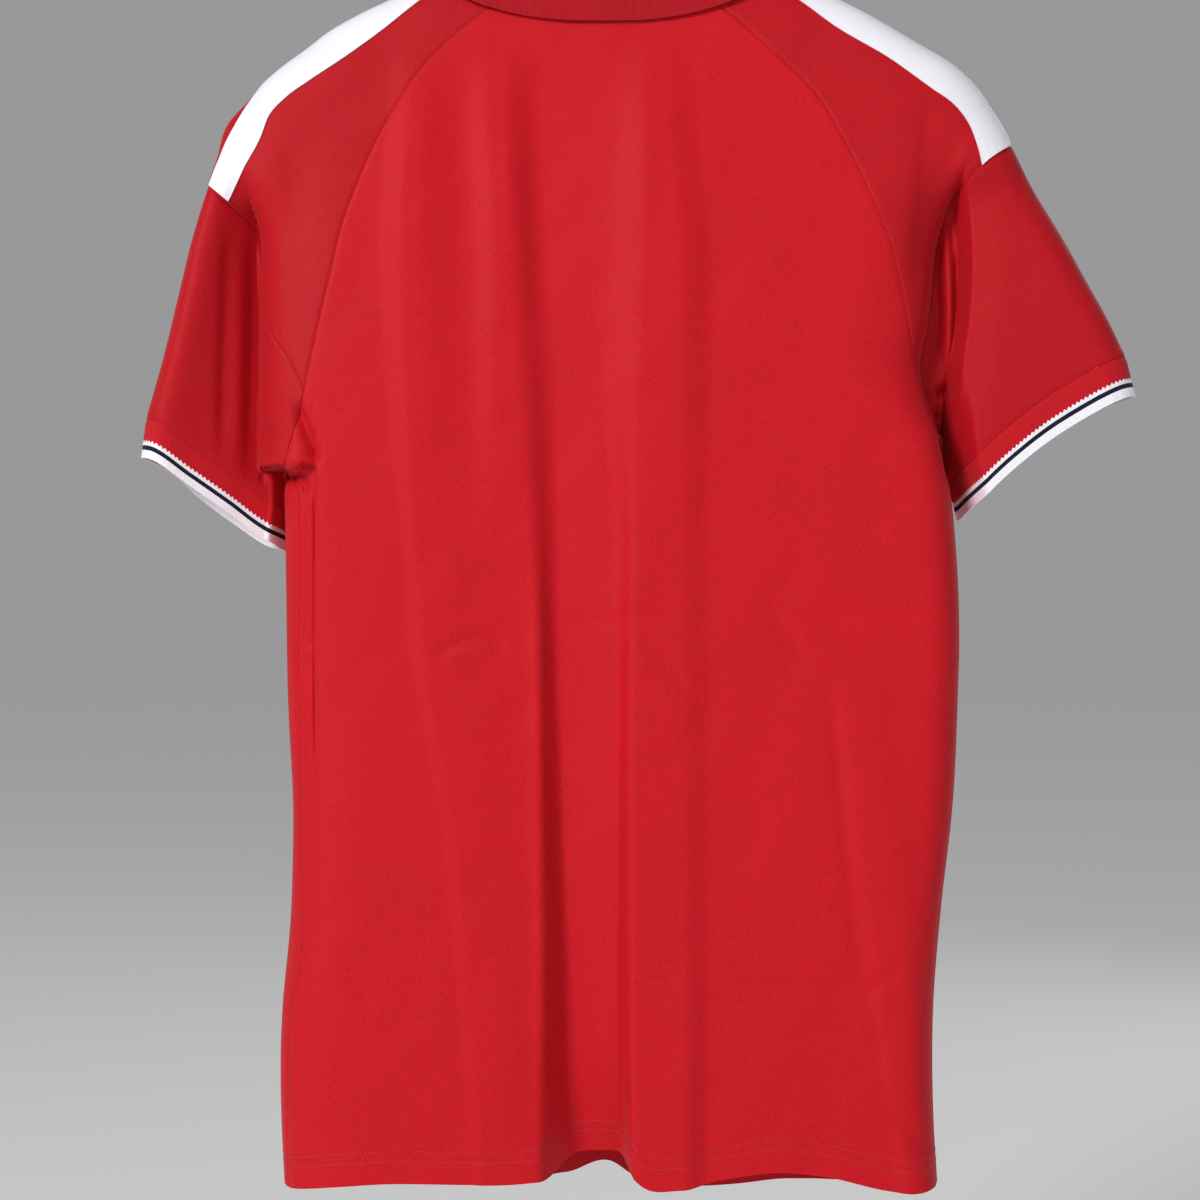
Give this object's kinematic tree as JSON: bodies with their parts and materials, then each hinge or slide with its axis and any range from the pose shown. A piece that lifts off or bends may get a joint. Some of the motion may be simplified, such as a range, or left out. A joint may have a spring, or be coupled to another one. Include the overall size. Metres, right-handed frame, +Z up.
{
  "type": "football jersey on a plain hanger",
  "caption": "Short-sleeved football jersey with a polo collar, shoulder tapes and knitted cuffs, hanging on a plain hanger, open at neck, hem and cuffs.",
  "frame": {"origin": "inner top of the hanger's hook, where it bears on a rail", "axes": "+Z up, +X to the wearer's right, the wearer's back faces -Y"},
  "size_m": [0.6152, 0.1094, 0.8879],
  "materials": {
    "knit": "red polyester interlock knit, slightly sheeny",
    "tape": "white smooth woven tape",
    "rib": "flat-knit rib with white and navy tipping at the cuffs",
    "hanger": "moulded, satin",
    "steel": "bright plated wire"
  },
  "bodies": {
    "root": {"back_panel": "knit", "front_panel": "knit", "shoulder_left": "knit", "shoulder_right": "knit", "sleeve_left": "knit", "sleeve_right": "knit", "stripe_left": "tape", "stripe_right": "tape", "cuff_left": "rib", "cuff_right": "rib", "collar": "rib", "hanger_arms": "hanger", "hanger_hook": "steel"}
  },
  "joints": []
}
